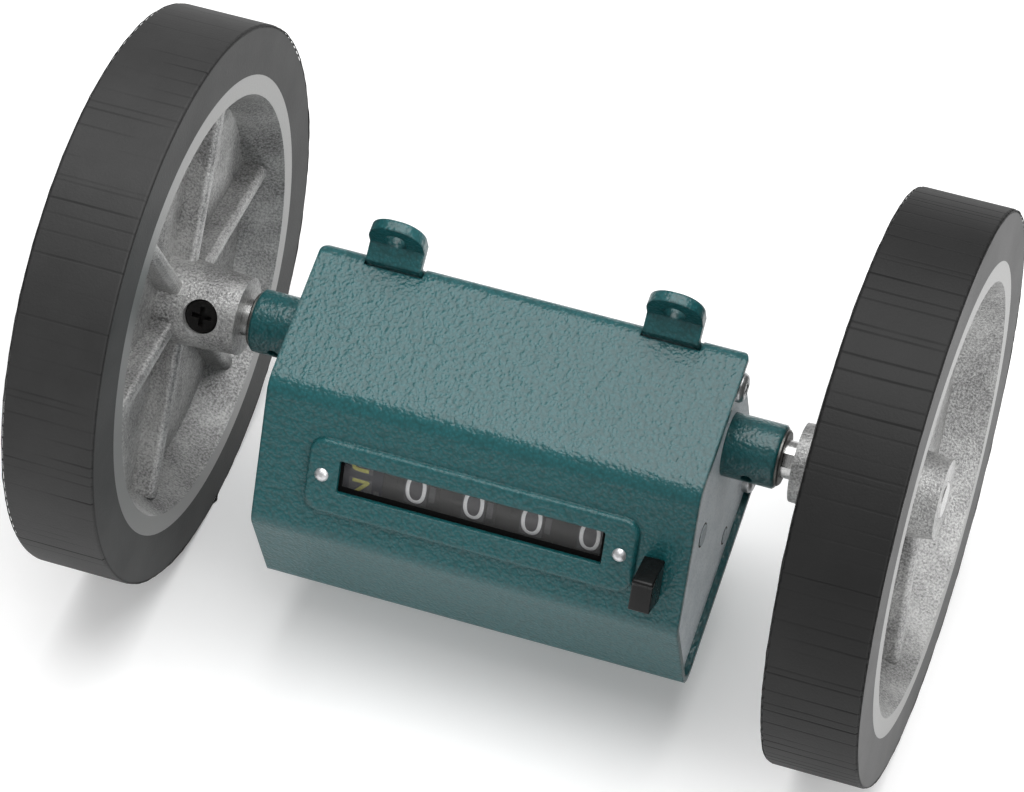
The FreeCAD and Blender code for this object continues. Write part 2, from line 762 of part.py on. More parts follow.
def drive_gear():
    x0 = lay_gear_x() + 0.1
    body = gear(main_z, gear_m, x0, x0 + main_gear_w, (0.0, 0.0), main_gear_phase())
    return body.cut(rod(shaft_r, x0 - 1, x0 + 10))


def thrust_washer():
    x0 = -plate_in + 0.1
    body = rod(main_z * gear_m / 2.0 - 0.8, x0, lay_gear_x() + 0.1)
    return body.cut(rod(shaft_r, x0 - 1, x0 + 3))


def thrust_collar():
    x1 = plate_in - 0.1
    body = rod(boss_r - 0.4, x1 - 2.4, x1)
    body = body.makeChamfer(0.3, [e for e in body.Edges if e.Length > 6.0 * (boss_r - 0.4)])
    return body.cut(rod(shaft_r, x1 - 5, x1 + 3))


def layshaft():
    return rod(spindle_r, -plate_out + 0.4, lay_pinion_x1() + 0.3, *lay_c)


def lay_pinion_x1():
    return drum_x(0) - drum_rim / 2.0 - (drum_pitch - drum_rim - 0.3) / 2.0 + 0.05


def layshaft_gear():
    x0 = lay_gear_x()
    body = gear(lay_z, gear_m, x0, x0 + lay_gear_w, lay_c, lay_gear_phase())
    return body.cut(rod(spindle_r, x0 - 1, x0 + 9, *lay_c))


def layshaft_pinion():
    x1 = lay_pinion_x1()
    x0 = x1 - number_gear_w - 0.1
    body = gear(lay_pinion_z, gear_m, x0, x1, lay_c, lay_pinion_phase())
    return body.cut(rod(spindle_r, x0 - 1, x1 + 1, *lay_c))


def step_pinion(i):
    # pinion between drum i and drum i + 1, driven ring gear on the right hand drum
    x0 = drum_x(i) + drum_rim / 2.0
    gap = drum_pitch - drum_rim
    phase = mesh_phase(step_pinion_z, step_c, drum_c, step_z, drum_phase(i + 1))
    body = gear(step_pinion_z, step_m, x0 + 0.15, x0 + gap - 0.15, step_c, phase, 28.0, 0.7, 0.95, 0.2)
    return body.cut(rod(spindle_r + run_gap, x0 - 1, x0 + gap + 1, *step_c))


# ---- reset lever
def reset_shaft():
    return rod(reset_r, -frame_x - frame_t - 0.4, arm_x + arm_t + 0.4, reset_y, reset_z)


def reset_comb():
    x0 = drum_x(1)
    x1 = drum_x(drum_n - 1) + drum_rim / 2.0 + 2.0
    body = rod(reset_r + 1.2, x0, x1, reset_y, reset_z)
    for i in range(1, drum_n):
        f0 = drum_x(i) + drum_rim / 2.0 + carry_w + 0.15
        finger = box(f0, f0 + finger_t, 0.0, finger_len, -1.3, 1.3)
        finger = finger.makeFillet(1.0, [e for e in finger.Edges if e.BoundBox.YMin > finger_len - 1e-3
                                         and e.BoundBox.XLength > 0.1])
        finger.rotate(V(0, 0, 0), V(1, 0, 0), finger_deg)
        finger.translate(V(0, reset_y, reset_z))
        body = body.fuse(finger)
    return body.cut(rod(reset_r, x0 - 1, x1 + 1, reset_y, reset_z)).removeSplitter()


def gear_sector(z, c, x0, phase, aim, before, after, hub_r, bore_r):
    # toothed sector from before to after degrees of aim, on a round hub
    body = gear(z, gear_m, x0, x0 + arm_t, c, phase)
    reach = gear_m * z
    wedge = prism([c, polar(reach, aim - before, *c), polar(reach, aim, *c), polar(reach, aim + after, *c)],
                  x0 - 1, x0 + arm_t + 1)
    body = body.common(wedge).fuse(rod(hub_r, x0, x0 + arm_t, *c))
    return body.cut(rod(bore_r, x0 - 1, x0 + arm_t + 1, *c)).removeSplitter()


def arm_bar():
    # the straight bar from the number shaft out through the slot
    cross = wp(arm_v, 0.0)
    a = math.degrees(math.atan2(cross[1] - drum_c[1], cross[0] - drum_c[0]))
    reach = math.hypot(cross[0] - drum_c[0], cross[1] - drum_c[1]) + handle_out - 2.5
    bar = box(arm_x, arm_x + arm_t, 0.0, reach, -arm_half, arm_half)
    bar.rotate(V(0, 0, 0), V(1, 0, 0), a)
    bar.translate(V(0, drum_c[0], drum_c[1]))
    return bar


def reset_arm():
    # arm and toothed sector in one plate, free on the number shaft
    sector = gear_sector(lever_z, drum_c, arm_x, reset_deg, reset_deg, 22.0, 22.0, drum_shaft_r + 2.0, drum_shaft_r)
    body = arm_bar().fuse(sector)
    return body.cut(rod(drum_shaft_r + run_gap, arm_x - 1, arm_x + arm_t + 1, *drum_c)).removeSplitter()


def comb_sector():
    phase = mesh_phase(comb_z, (reset_y, reset_z), drum_c, lever_z, reset_deg)
    return gear_sector(comb_z, (reset_y, reset_z), arm_x, phase, reset_deg + 180.0, 38.0, 24.0,
                       reset_r + 1.4, reset_r)


def reset_handle():
    # black thumb piece over the end of the arm: sloping top with a lip, flat front
    pts = [(-13.8, handle_gap), (-15.2, handle_out), (-15.8, handle_out + 0.3), (-16.2, handle_out - 0.2),
           (-21.4, handle_out - 0.2), (-22.0, handle_gap)]
    wire = Part.makePolygon([V(handle_x0, p[0], p[1]) for p in pts + pts[:1]])
    body = on_panel(Part.Face(wire).extrude(V(handle_w, 0, 0)))
    return body.cut(arm_bar())


def reset_spring():
    # two turn torsion spring round the reset shaft, between the counter plate and the sector
    x0 = frame_x + frame_t + spring_wire_r + 0.1
    coil_r = reset_r + 1.0
    rise = 2.0 * spring_wire_r + 0.15
    arcs = []
    for k in range(2 * spring_turns):
        spots = []
        for q in range(3):
            y, z = polar(coil_r, 180.0 * k + 90.0 * q)
            spots.append(V(x0 + rise * (k + q / 2.0) / 2.0, y, z))
        arcs.append(Part.Arc(*spots).toShape())
    start = arcs[0].tangentAt(arcs[0].FirstParameter)
    ring = Part.Wire([Part.makeCircle(spring_wire_r, V(x0, coil_r, 0), start)])
    body = Part.Wire(arcs).makePipeShell([ring], True, False)
    body.translate(V(0, reset_y, reset_z))
    return body


def build():
    for side, name in ((-1, "left"), (1, "right")):
        hub_in = hub_in_left if side < 0 else hub_in_right
        save(wheel_rim(side, hub_in), name + "_wheel_rim")
        save(tyre(side), name + "_tyre")
        save(wheel_screw(side), name + "_wheel_screw")
        save(end_plate(side), name + "_end_plate")
        save(bearing_boss(side), name + "_bearing_boss")
        save(bearing_bush(side), name + "_bearing_bush")
        save(mounting_ear(side), name + "_mounting_ear")
        save(counter_plate(side), name + "_counter_plate")
        save(window_rivet(side), name + "_window_rivet")
        save(end_screw(side, bar_top_t), name + "_end_screw_top")
        save(end_screw(side, bar_low_t), name + "_end_screw_low")
        save(rear_screw(side, bar_top_t), name + "_rear_screw_top")
        save(rear_screw(side, bar_low_t), name + "_rear_screw_low")
        save(base_screw(side), name + "_base_screw")
    save(main_shaft(), "main_shaft")
    save(drive_gear(), "drive_gear")
    save(thrust_washer(), "thrust_washer")
    save(thrust_collar(), "thrust_collar")
    save(front_cover(), "front_cover")
    save(rear_plate(), "rear_plate")
    save(frame_bar(bar_top_t), "frame_bar_top")
    save(frame_bar(bar_low_t), "frame_bar_low")
    save(frame_stay(), "frame_stay")
    save(window_lens(), "window_lens")
    save(number_shaft(), "number_shaft")
    save(step_shaft(), "step_shaft")
    names = ("tenths", "units", "tens", "hundreds", "thousands")
    for i in range(drum_n):
        save(number_drum(i), names[i] + "_drum")
        if i > 0:
            save(step_pinion(i - 1), names[i] + "_step_pinion")
    save(tenths_gear(), "tenths_gear")
    save(layshaft(), "layshaft")
    save(layshaft_gear(), "layshaft_gear")
    save(layshaft_pinion(), "layshaft_pinion")
    save(reset_shaft(), "reset_shaft")
    save(reset_comb(), "reset_comb")
    save(reset_arm(), "reset_arm")
    save(comb_sector(), "comb_sector")
    save(reset_handle(), "reset_handle")
    save(reset_spring(), "reset_spring")


build()
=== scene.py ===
import bpy
import math
import random
from mathutils import Matrix, Vector


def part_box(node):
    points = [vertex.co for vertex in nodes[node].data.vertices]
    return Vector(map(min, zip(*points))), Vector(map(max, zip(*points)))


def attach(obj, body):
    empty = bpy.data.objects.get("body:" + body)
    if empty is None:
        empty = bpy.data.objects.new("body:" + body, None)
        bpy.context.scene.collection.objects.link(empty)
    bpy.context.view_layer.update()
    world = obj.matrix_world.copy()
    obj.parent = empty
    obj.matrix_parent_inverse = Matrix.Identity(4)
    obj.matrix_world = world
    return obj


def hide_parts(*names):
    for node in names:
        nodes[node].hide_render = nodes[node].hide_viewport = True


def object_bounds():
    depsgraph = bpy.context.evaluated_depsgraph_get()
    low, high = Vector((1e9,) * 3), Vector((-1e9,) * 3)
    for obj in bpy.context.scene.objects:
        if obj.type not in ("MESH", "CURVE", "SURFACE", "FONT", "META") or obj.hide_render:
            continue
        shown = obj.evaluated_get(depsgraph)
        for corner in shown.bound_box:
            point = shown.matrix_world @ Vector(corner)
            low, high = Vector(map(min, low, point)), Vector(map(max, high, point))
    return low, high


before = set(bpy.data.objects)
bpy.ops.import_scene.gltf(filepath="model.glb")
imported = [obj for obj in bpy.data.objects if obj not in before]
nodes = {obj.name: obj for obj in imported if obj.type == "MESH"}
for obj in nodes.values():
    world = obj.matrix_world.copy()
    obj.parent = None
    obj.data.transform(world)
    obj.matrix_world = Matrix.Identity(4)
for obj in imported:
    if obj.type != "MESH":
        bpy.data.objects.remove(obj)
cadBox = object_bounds()
print("frame loaded,", len(nodes), "nodes")

mm = 0.001
axleHeight = 53.05 * mm
hang = 15.5  # degrees the casing is turned about the axle


# small helpers

def colour(hexValue):
    # sRGB hex to the linear RGBA that the sockets take
    rgb = [int(hexValue[i:i + 2], 16) / 255 for i in (1, 3, 5)]
    return [c / 12.92 if c <= 0.04045 else ((c + 0.055) / 1.055) ** 2.4 for c in rgb] + [1.0]


def addNode(tree, kind, settings=None, links=None):
    node = tree.nodes.new(kind)
    for name, value in (settings or {}).items():
        if isinstance(name, str) and hasattr(node, name):
            setattr(node, name, value)
        else:
            node.inputs[name].default_value = value
    for name, source in (links or {}).items():
        tree.links.new(source, node.inputs[name])
    return node


def newMaterial(name):
    material = bpy.data.materials.new(name)
    material.use_nodes = True
    material.node_tree.nodes.clear()
    return material, material.node_tree


def deselectAll():
    if bpy.context.object and bpy.context.object.mode != "OBJECT":
        bpy.ops.object.mode_set(mode="OBJECT")
    bpy.ops.object.select_all(action="DESELECT")


def pickOnly(piece):
    deselectAll()
    piece.select_set(True)
    bpy.context.view_layer.objects.active = piece


def placeInMesh():
    # the object goes back to the origin and its place goes into its mesh
    bpy.ops.object.transform_apply(location=True, rotation=True, scale=True)


def modify(piece, kind, **settings):
    pickOnly(piece)
    modifier = piece.modifiers.new(kind.lower(), kind)
    for name, value in settings.items():
        setattr(modifier, name, value)
    bpy.ops.object.modifier_apply(modifier=modifier.name)


def joinPieces(pieces, name):
    deselectAll()
    for piece in pieces:
        piece.select_set(True)
    bpy.context.view_layer.objects.active = pieces[0]
    if len(pieces) > 1:
        bpy.ops.object.join()
    placeInMesh()
    joined = bpy.context.object
    joined.name = name
    return joined


def wear(piece, material):
    piece.data.materials.clear()
    piece.data.materials.append(material)
    return piece


# materials

def objectSpot(tree, centre=(0, 0, 0)):
    # Object coordinates, with the pattern's centre moved to a point of the part
    spot = addNode(tree, "ShaderNodeTexCoord").outputs["Object"]
    move = addNode(tree, "ShaderNodeMapping", {"Location": [-c for c in centre]}, {"Vector": spot})
    return move.outputs["Vector"]


def setRamp(ramp, low, high):
    # each end is a position and a hex colour
    for element, (position, tint) in zip(ramp.elements, (low, high)):
        element.position, element.color = position, colour(tint)


def hammertoneEnamel():
    # stoving enamel sprayed thick over sheet: it pulls into small glossy pebbles with darker hollows
    finish = {
        "pebble": 0.62, "drift": 1.6, "wander": 0.9, "swell": 1.3, "edge": 0.7, "depth": 0.25,  # mm
        "base": "#19585C", "hollow": "#13484A", "rough": 0.28, "relief": 0.6, "dip": -0.55,
    }
    material, tree = newMaterial("hammertoneEnamel")
    spot = objectSpot(tree)
    drift = addNode(tree, "ShaderNodeTexNoise", {"Scale": 1 / (finish["drift"] * mm), "Detail": 2.0},
                    {"Vector": spot})
    wander = addNode(tree, "ShaderNodeVectorMath", {"operation": "SCALE", "Scale": finish["wander"] * mm},
                     {0: drift.outputs["Color"]})
    bent = addNode(tree, "ShaderNodeVectorMath", {"operation": "ADD"}, {0: spot, 1: wander.outputs[0]})
    pebble = addNode(tree, "ShaderNodeTexVoronoi",
                     {"feature": "SMOOTH_F1", "Scale": 1 / (finish["pebble"] * mm), "Smoothness": 0.6},
                     {"Vector": bent.outputs[0]})
    swell = addNode(tree, "ShaderNodeTexNoise",
                    {"Scale": 1 / (finish["swell"] * mm), "Detail": 2.0, "Roughness": 0.5},
                    {"Vector": spot})
    # thick paint rounds every edge
    soft = addNode(tree, "ShaderNodeBevel", {"samples": 4, "Radius": finish["edge"] * mm})
    height = addNode(tree, "ShaderNodeMath", {"operation": "MULTIPLY_ADD", 1: finish["dip"]},
                     {0: pebble.outputs["Distance"], 2: swell.outputs["Fac"]})
    bump = addNode(tree, "ShaderNodeBump", {"Strength": finish["relief"], "Distance": finish["depth"] * mm},
                   {"Height": height.outputs[0], "Normal": soft.outputs["Normal"]})
    tint = addNode(tree, "ShaderNodeValToRGB", links={"Fac": pebble.outputs["Distance"]})
    setRamp(tint.color_ramp, (0.15, finish["base"]), (0.75, finish["hollow"]))
    shader = addNode(tree, "ShaderNodeBsdfPrincipled", {"Roughness": finish["rough"], "IOR": 1.5},
                     {"Base Color": tint.outputs["Color"], "Normal": bump.outputs["Normal"]})
    addNode(tree, "ShaderNodeOutputMaterial", links={"Surface": shader.outputs[0]})
    return material


def castAluminium():
    # gravity cast alloy: sand rough grey skin with bright flecks, and a turned ring where the tyre seats
    finish = {
        "grain": 0.42, "patch": 9, "depth": 0.22, "ringFrom": 39.9,  # mm, the last from the axle
        "skin": "#656565", "fleck": "#C2C2C1", "turned": "#949493", "metallic": 0.75,
        "castRough": 0.46, "turnedRough": 0.38, "castRelief": 0.75, "turnedRelief": 0.18,
        "patchShare": 0.6, "flat": 0.9,  # the ring is only where the surface faces along the axle
    }
    material, tree = newMaterial("castAluminium")
    spot = objectSpot(tree, (0, 0, axleHeight))
    grain = addNode(tree, "ShaderNodeTexNoise",
                    {"Scale": 1 / (finish["grain"] * mm), "Detail": 4.0, "Roughness": 0.6},
                    {"Vector": spot})
    patches = addNode(tree, "ShaderNodeTexNoise", {"Scale": 1 / (finish["patch"] * mm), "Detail": 3.0},
                      {"Vector": spot})
    mixed = addNode(tree, "ShaderNodeMath", {"operation": "MULTIPLY_ADD", 1: finish["patchShare"]},
                    {0: patches.outputs["Fac"], 2: grain.outputs["Fac"]})
    skin = addNode(tree, "ShaderNodeValToRGB", links={"Fac": mixed.outputs[0]})
    setRamp(skin.color_ramp, (0.55, finish["skin"]), (1.0, finish["fleck"]))
    # distance from the axle line picks the turned ring on the rim's edge
    flat = addNode(tree, "ShaderNodeVectorMath", {"operation": "MULTIPLY", 1: (0, 1, 1)}, {0: spot})
    radius = addNode(tree, "ShaderNodeVectorMath", {"operation": "LENGTH"}, {0: flat.outputs[0]})
    inRing = addNode(tree, "ShaderNodeMath", {"operation": "GREATER_THAN", 1: finish["ringFrom"] * mm},
                     {0: radius.outputs["Value"]})
    surface = addNode(tree, "ShaderNodeNewGeometry")
    facing = addNode(tree, "ShaderNodeSeparateXYZ", links={0: surface.outputs["Normal"]})
    sideways = addNode(tree, "ShaderNodeMath", {"operation": "ABSOLUTE"}, {0: facing.outputs["X"]})
    isFlat = addNode(tree, "ShaderNodeMath", {"operation": "GREATER_THAN", 1: finish["flat"]},
                     {0: sideways.outputs[0]})
    turned = addNode(tree, "ShaderNodeMath", {"operation": "MULTIPLY"},
                     {0: inRing.outputs[0], 1: isFlat.outputs[0]})
    blend = addNode(tree, "ShaderNodeMixRGB", {"Color2": colour(finish["turned"])},
                    {"Fac": turned.outputs[0], "Color1": skin.outputs["Color"]})
    gloss = addNode(tree, "ShaderNodeMapRange",
                    {"From Min": 0.0, "From Max": 1.0, "To Min": finish["castRough"],
                     "To Max": finish["turnedRough"]}, {"Value": turned.outputs[0]})
    relief = addNode(tree, "ShaderNodeMapRange",
                     {"From Min": 0.0, "From Max": 1.0, "To Min": finish["castRelief"],
                      "To Max": finish["turnedRelief"]}, {"Value": turned.outputs[0]})
    bump = addNode(tree, "ShaderNodeBump", {"Distance": finish["depth"] * mm},
                   {"Height": grain.outputs["Fac"], "Strength": relief.outputs["Result"]})
    shader = addNode(tree, "ShaderNodeBsdfPrincipled", {"Metallic": finish["metallic"]},
                     {"Base Color": blend.outputs["Color"], "Roughness": gloss.outputs["Result"],
                      "Normal": bump.outputs["Normal"]})
    addNode(tree, "ShaderNodeOutputMaterial", links={"Surface": shader.outputs[0]})
    return material


def tyreRubber(name, seed, lines, tread, flank, faint, broken, sheen):
    # moulded nitrile rubber: matt black tread with fine knife lines across it, their near black colour
    # painted shade in the cuts, smoother greyer flanks
    finish = {
        "radius": 53, "treadFrom": 52.45, "treadTo": 52.75, "cutCore": 0.07, "cutEdge": 0.3,  # mm
        "wander": 16, "breaks": 8, "bloom": 14, "grain": 0.5, "depth": 0.12,  # mm
        "bend": 0.10, "offCentre": 0.45, "stretch": 0.3, "cutDepth": -3.0, "relief": 0.35,
        # the cut colour is painted shade: near black for the shade inside the knife lines
        "rough": 0.6, "cut": "#0B0B0B",
    }
    material, tree = newMaterial(name)
    spot = objectSpot(tree, (0, 0, axleHeight))
    part = addNode(tree, "ShaderNodeSeparateXYZ", links={0: spot})
    turn = addNode(tree, "ShaderNodeMath", {"operation": "ARCTAN2"},
                   {0: part.outputs["Z"], 1: part.outputs["Y"]})
    jitter = addNode(tree, "ShaderNodeTexNoise", {"Scale": 1 / (finish["wander"] * mm), "Detail": 2.0},
                     {"Vector": spot})
    count = addNode(tree, "ShaderNodeMath", {"operation": "MULTIPLY", 1: lines / (2 * math.pi)},
                    {0: turn.outputs[0]})
    bent = addNode(tree, "ShaderNodeMath", {"operation": "MULTIPLY_ADD", 1: finish["bend"]},
                   {0: jitter.outputs["Fac"], 2: count.outputs[0]})
    cell = addNode(tree, "ShaderNodeMath", {"operation": "ROUND"}, {0: bent.outputs[0]})
    draw = addNode(tree, "ShaderNodeMath", {"operation": "ADD", 1: seed}, {0: cell.outputs[0]})
    chance = addNode(tree, "ShaderNodeTexWhiteNoise", {"noise_dimensions": "1D"}, {"W": draw.outputs[0]})
    luck = addNode(tree, "ShaderNodeSeparateColor", links={0: chance.outputs["Color"]})
    shift = addNode(tree, "ShaderNodeMapRange",
                    {"To Min": -finish["offCentre"], "To Max": finish["offCentre"]},
                    {"Value": luck.outputs[0]})
    gap = addNode(tree, "ShaderNodeMath", {"operation": "SUBTRACT"},
                  {0: bent.outputs[0], 1: cell.outputs[0]})
    off = addNode(tree, "ShaderNodeMath", {"operation": "SUBTRACT"},
                  {0: gap.outputs[0], 1: shift.outputs["Result"]})
    away = addNode(tree, "ShaderNodeMath", {"operation": "ABSOLUTE"}, {0: off.outputs[0]})
    pitch = 2 * math.pi * finish["radius"] / lines
    cut = addNode(tree, "ShaderNodeMapRange",
                  {"From Min": finish["cutCore"] / pitch, "From Max": finish["cutEdge"] / pitch,
                   "To Min": 1.0, "To Max": 0.0}, {"Value": away.outputs[0]})
    long = addNode(tree, "ShaderNodeVectorMath", {"operation": "MULTIPLY", 1: (finish["stretch"], 1, 1)},
                   {0: spot})
    along = addNode(tree, "ShaderNodeTexNoise", {"Scale": 1 / (finish["breaks"] * mm), "Detail": 2.0},
                    {"Vector": long.outputs[0]})
    depth = addNode(tree, "ShaderNodeMapRange", {"From Min": broken[0], "From Max": broken[1]},
                    {"Value": along.outputs["Fac"]})
    strong = addNode(tree, "ShaderNodeMapRange", {"To Min": faint, "To Max": 1.0},
                     {"Value": luck.outputs[1]})
    deep = addNode(tree, "ShaderNodeMath", {"operation": "MULTIPLY"},
                   {0: depth.outputs["Result"], 1: strong.outputs["Result"]})
    line = addNode(tree, "ShaderNodeMath", {"operation": "MULTIPLY"},
                   {0: cut.outputs["Result"], 1: deep.outputs[0]})
    flat = addNode(tree, "ShaderNodeVectorMath", {"operation": "MULTIPLY", 1: (0, 1, 1)}, {0: spot})
    radius = addNode(tree, "ShaderNodeVectorMath", {"operation": "LENGTH"}, {0: flat.outputs[0]})
    onTread = addNode(tree, "ShaderNodeMapRange",
                      {"From Min": finish["treadFrom"] * mm, "From Max": finish["treadTo"] * mm},
                      {"Value": radius.outputs["Value"]})
    cutHere = addNode(tree, "ShaderNodeMath", {"operation": "MULTIPLY"},
                      {0: line.outputs[0], 1: onTread.outputs["Result"]})
    bloom = addNode(tree, "ShaderNodeTexNoise",
                    {"Scale": 1 / (finish["bloom"] * mm), "Detail": 5.0, "Roughness": 0.6},
                    {"Vector": spot})
    scuff = addNode(tree, "ShaderNodeMapRange", {"From Min": 0.3, "From Max": 0.7},
                    {"Value": bloom.outputs["Fac"]})
    treadTint = addNode(tree, "ShaderNodeMixRGB", {"Color1": colour(tread[0]), "Color2": colour(tread[1])},
                        {"Fac": scuff.outputs["Result"]})
    flankTint = addNode(tree, "ShaderNodeMixRGB", {"Color1": colour(flank[0]), "Color2": colour(flank[1])},
                        {"Fac": scuff.outputs["Result"]})
    sides = addNode(tree, "ShaderNodeMixRGB",
                    links={"Fac": onTread.outputs["Result"], "Color1": flankTint.outputs["Color"],
                           "Color2": treadTint.outputs["Color"]})
    # painted shade: the knife lines take the near black cut colour for the shade inside the cuts
    printAndCutShade = addNode(tree, "ShaderNodeMixRGB", {"Color2": colour(finish["cut"])},
                    {"Fac": cutHere.outputs[0], "Color1": sides.outputs["Color"]})
    grain = addNode(tree, "ShaderNodeTexNoise", {"Scale": 1 / (finish["grain"] * mm), "Detail": 3.0},
                    {"Vector": spot})
    height = addNode(tree, "ShaderNodeMath", {"operation": "MULTIPLY_ADD", 1: finish["cutDepth"]},
                     {0: cutHere.outputs[0], 2: grain.outputs["Fac"]})
    bump = addNode(tree, "ShaderNodeBump", {"Strength": finish["relief"], "Distance": finish["depth"] * mm},
                   {"Height": height.outputs[0]})
    dull = addNode(tree, "ShaderNodeMapRange", {"To Min": finish["rough"], "To Max": 1.0},
                   {"Value": cutHere.outputs[0]})
    shader = addNode(tree, "ShaderNodeBsdfPrincipled", {"IOR": 1.5, "Specular IOR Level": sheen},
                     {"Base Color": printAndCutShade.outputs["Color"], "Roughness": dull.outputs["Result"],
                      "Normal": bump.outputs["Normal"]})
    addNode(tree, "ShaderNodeOutputMaterial", links={"Surface": shader.outputs[0]})
    return material


def grainyFinish(name, tints, grain, rough, metallic, relief, depth, stretch=(1, 1, 1), alpha=1.0,
                 ior=None):
    # the plainer finishes: two tints over a grain given in mm, clouds twelve times as broad, and a light bump
    material, tree = newMaterial(name)
    spot = addNode(tree, "ShaderNodeTexCoord").outputs["Object"]
    laid = addNode(tree, "ShaderNodeMapping", {"Scale": stretch}, {"Vector": spot})
    fine = addNode(tree, "ShaderNodeTexNoise", {"Scale": 1 / (grain * mm), "Detail": 4.0, "Roughness": 0.6},
                   {"Vector": laid.outputs["Vector"]})
    broad = addNode(tree, "ShaderNodeTexNoise", {"Scale": 1 / (grain * 12 * mm), "Detail": 2.0},
                    {"Vector": laid.outputs["Vector"]})
    mixed = addNode(tree, "ShaderNodeMath", {"operation": "MULTIPLY_ADD", 1: 0.5},
                    {0: broad.outputs["Fac"], 2: fine.outputs["Fac"]})
    tint = addNode(tree, "ShaderNodeValToRGB", links={"Fac": mixed.outputs[0]})
    setRamp(tint.color_ramp, (0.55, tints[0]), (0.95, tints[1]))
    gloss = addNode(tree, "ShaderNodeMapRange",
                    {"From Min": 0.3, "From Max": 0.7, "To Min": rough[0], "To Max": rough[1]},
                    {"Value": broad.outputs["Fac"]})
    bump = addNode(tree, "ShaderNodeBump", {"Strength": relief, "Distance": depth * mm},
                   {"Height": fine.outputs["Fac"]})
    settings = {"Metallic": metallic, "Alpha": alpha}
    if ior:
        settings["IOR"] = ior
    shader = addNode(tree, "ShaderNodeBsdfPrincipled", settings,
                     {"Base Color": tint.outputs["Color"], "Roughness": gloss.outputs["Result"],
                      "Normal": bump.outputs["Normal"]})
    addNode(tree, "ShaderNodeOutputMaterial", links={"Surface": shader.outputs[0]})
    return material


enamel = hammertoneEnamel()
castRim = castAluminium()
# the tyres are one rubber: the left flank is painted darker as shade, the right flank lighter as painted
# light, and the right tread is darker than the left
leftRubber = tyreRubber("tyreRubberLeft", 3, 110, ("#242424", "#2D2D2D"), ("#2C2C2C", "#3B3B3B"), 0.05,
                        (0.4, 0.72), 0.4)
rightRubber = tyreRubber("tyreRubberRight", 41, 104, ("#121212", "#191919"), ("#424242", "#525252"), 0.25,
                         (0.32, 0.66), 0.34)
# powder coat on rolled plate: pale cool grey with a fine orange peel, satin
plateCoat = grainyFinish("greyPowderCoat", ("#CCD7DD", "#F4FAFD"), 0.4, (0.4, 0.55), 0.0, 0.8, 0.16,
                         ior=1.5)
# bright turned and ground steel: thin rings round the bar, so the grain is squeezed along the axle
groundSteel = grainyFinish("groundSteel", ("#9C9C9C", "#D2D2D0"), 0.25, (0.18, 0.3), 1.0, 0.1, 0.02,
                           (6, 1, 1))
# cut and deburred bar ends, flush in the end plates: flat matt grey
sawnSteel = grainyFinish("sawnSteel", ("#A4AFB5", "#C8D0D4"), 0.4, (0.5, 0.65), 0.3, 0.3, 0.05)
# dark steel sleeve round the shaft: only its lip catches the light
darkSleeveSteel = grainyFinish("darkSleeveSteel", ("#4E4E4C", "#777774"), 0.35, (0.3, 0.45), 1.0, 0.2, 0.03)
# zinc plate on pressed steel: pale, slightly cloudy
zincSteel = grainyFinish("zincPlatedSteel", ("#A6A7A8", "#C9CACB"), 0.5, (0.25, 0.42), 1.0, 0.15, 0.03)
# zinc plate on folded strip: cloudier and flatter than the screws
zincStrip = grainyFinish("zincPlatedStrip", ("#8F9294", "#B5B8B9"), 0.9, (0.35, 0.5), 1.0, 0.2, 0.04)
# oil quenched and blackened steel: near black with a soft sheen
blackedSteel = grainyFinish("blackenedSteel", ("#101010", "#242322"), 0.4, (0.3, 0.45), 0.6, 0.2, 0.03)
# sintered bronze with oil in its pores: brown gold, matt
poreBronze = grainyFinish("sinteredBronze", ("#8A7A58", "#B09A70"), 0.3, (0.35, 0.5), 0.9, 0.3, 0.04)
# soft alloy rivet, head peened to a dome: pale and satin
peenedAlloy = grainyFinish("peenedAluminium", ("#C2C2C4", "#E2E2E4"), 0.6, (0.3, 0.45), 0.75, 0.15, 0.03)
# hobbed brass: yellow metal with the cutter's fine marks
hobbedBrass = grainyFinish("hobbedBrass", ("#A98845", "#CDAE68"), 0.3, (0.25, 0.4), 1.0, 0.15, 0.02)
# drawn music wire: grey, bright along the wire
springWire = grainyFinish("springWire", ("#7F8082", "#A9AAAC"), 0.3, (0.25, 0.35), 1.0, 0.1, 0.02)
# black acetal drum, moulded with a fine spark eroded skin: dark warm grey
drumBlack = grainyFinish("acetalDrumBlack", ("#504E4E", "#5C5A59"), 0.35, (0.45, 0.6), 0.0, 0.25, 0.03,
                         ior=1.48)
drumDecimal = grainyFinish("acetalDrumDecimal", ("#4E4D51", "#5A585C"), 0.35, (0.45, 0.6), 0.0, 0.25, 0.03,
                           ior=1.48)
# natural acetal pinion: milky white and slightly waxy
acetalWhite = grainyFinish("acetalNatural", ("#D8D5CC", "#E8E6DF"), 0.5, (0.35, 0.45), 0.0, 0.1, 0.02,
                           ior=1.48)
# glass filled nylon handle: near black with a faint grain
nylonBlack = grainyFinish("nylonBlack", ("#060606", "#101010"), 0.3, (0.22, 0.36), 0.0, 0.3, 0.04, ior=1.33)
# hot stamped foil on the drums: flat, crisp, slightly worn
stampWhite = grainyFinish("stampedWhite", ("#F6F6F8", "#FFFFFF"), 0.4, (0.5, 0.6), 0.0, 0.1, 0.01, ior=1.5)
stampYellow = grainyFinish("stampedYellow", ("#B4B160", "#D2CF86"), 0.4, (0.5, 0.6), 0.0, 0.1, 0.01,
                           ior=1.5)
stampPatch = grainyFinish("stampedPatch", ("#676567", "#737173"), 0.5, (0.5, 0.65), 0.0, 0.1, 0.01, ior=1.5)
# cast acrylic window: clear, only its gloss and a faint grey show
clearAcrylic = grainyFinish("clearAcrylic", ("#6E7474", "#7C8282"), 2.0, (0.04, 0.08), 0.0, 0.02, 0.01,
                            alpha=0.05, ior=1.49)
